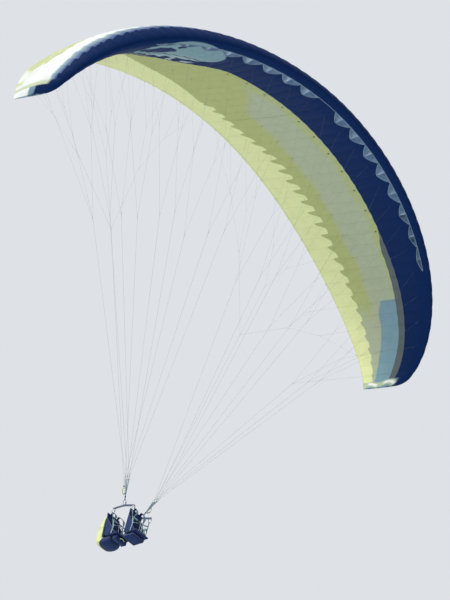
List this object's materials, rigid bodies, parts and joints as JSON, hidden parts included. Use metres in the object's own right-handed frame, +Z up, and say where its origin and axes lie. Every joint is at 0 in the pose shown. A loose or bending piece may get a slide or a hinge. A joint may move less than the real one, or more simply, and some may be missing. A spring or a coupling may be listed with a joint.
{
  "type": "tandem paraglider",
  "caption": "Ram-air canopy with suspension lines, risers, spreader bars and two harnesses, as a tandem paraglider hangs in flight.",
  "frame": {"origin": "on the canopy's lower skin at mid span, at its centre of lift, straight above the hang points", "axes": "+X forward, +Y to the glider's left, +Z up"},
  "size_m": [3.6923, 10.4726, 10.5284],
  "materials": {
    "navy_cloth": "matte",
    "lime_cloth": "matte",
    "pale_cloth": "matte",
    "webbing": "matte",
    "line_sheath": "matte",
    "alloy": "satin",
    "guide_plastic": "matte"
  },
  "bodies": {
    "root": {"a_lines_left": "line_sheath", "a_lines_right": "line_sheath", "b_lines_left": "line_sheath", "b_lines_right": "line_sheath", "brake_guide_left": "guide_plastic", "brake_guide_right": "guide_plastic", "c_lines_left": "line_sheath", "c_lines_right": "line_sheath", "canopy_front_centre": "navy_cloth", "canopy_front_inner_left": "navy_cloth", "canopy_front_inner_right": "navy_cloth", "canopy_front_outer_left": "navy_cloth", "canopy_front_outer_right": "navy_cloth", "canopy_rear_centre": "lime_cloth", "canopy_rear_inner_left": "lime_cloth", "canopy_rear_inner_right": "lime_cloth", "canopy_rear_outer_left": "lime_cloth", "canopy_rear_outer_right": "lime_cloth", "main_karabiner_left": "alloy", "main_karabiner_right": "alloy", "quick_link_a_left": "alloy", "quick_link_a_right": "alloy", "quick_link_b_left": "alloy", "quick_link_b_right": "alloy", "quick_link_c_left": "alloy", "quick_link_c_right": "alloy", "riser_left": "webbing", "riser_right": "webbing", "wingtip_left": "pale_cloth", "wingtip_right": "pale_cloth"},
    "spreader_bars": {"spreader_bar_left": "alloy", "spreader_bar_right": "alloy"},
    "brake_left": {"brake_handle_left": "webbing", "brake_lines_left": "line_sheath"},
    "brake_right": {"brake_handle_right": "webbing", "brake_lines_right": "line_sheath"},
    "pilot_harness": {"pilot_back": "navy_cloth", "pilot_karabiner_left": "alloy", "pilot_karabiner_right": "alloy", "pilot_protector": "lime_cloth", "pilot_reserve": "navy_cloth", "pilot_seat": "navy_cloth", "pilot_shoulder_straps": "navy_cloth", "pilot_side_strap_left": "webbing", "pilot_side_strap_right": "webbing"},
    "passenger_harness": {"passenger_back": "navy_cloth", "passenger_foam_pad": "navy_cloth", "passenger_karabiner_left": "alloy", "passenger_karabiner_right": "alloy", "passenger_seat": "navy_cloth", "passenger_shoulder_straps": "navy_cloth", "passenger_side_strap_left": "webbing", "passenger_side_strap_right": "webbing"}
  },
  "joints": [
    {"name": "spreader_tilt", "type": "hinge", "parent": "root", "child": "spreader_bars", "pos_m": [0, 0, -9.1592], "axis": [0, 1, 0], "range_deg": [-12, 12]},
    {"name": "pilot_swing", "type": "hinge", "parent": "spreader_bars", "child": "pilot_harness", "pos_m": [-0.264, 0, -9.1942], "axis": [0, 1, 0], "range_deg": [-4, 15]},
    {"name": "passenger_swing", "type": "hinge", "parent": "spreader_bars", "child": "passenger_harness", "pos_m": [0.295, 0, -9.1942], "axis": [0, 1, 0], "range_deg": [-15, 4]},
    {"name": "brake_pull_left", "type": "slide", "parent": "root", "child": "brake_left", "axis": [0.2614, -0.2714, -0.9263], "range_m": [0, 0.38], "stiffness_N_per_m": 60, "springref_m": -0.12},
    {"name": "brake_pull_right", "type": "slide", "parent": "root", "child": "brake_right", "axis": [0.2614, 0.2714, -0.9263], "range_m": [0, 0.38], "stiffness_N_per_m": 60, "springref_m": -0.12}
  ]
}
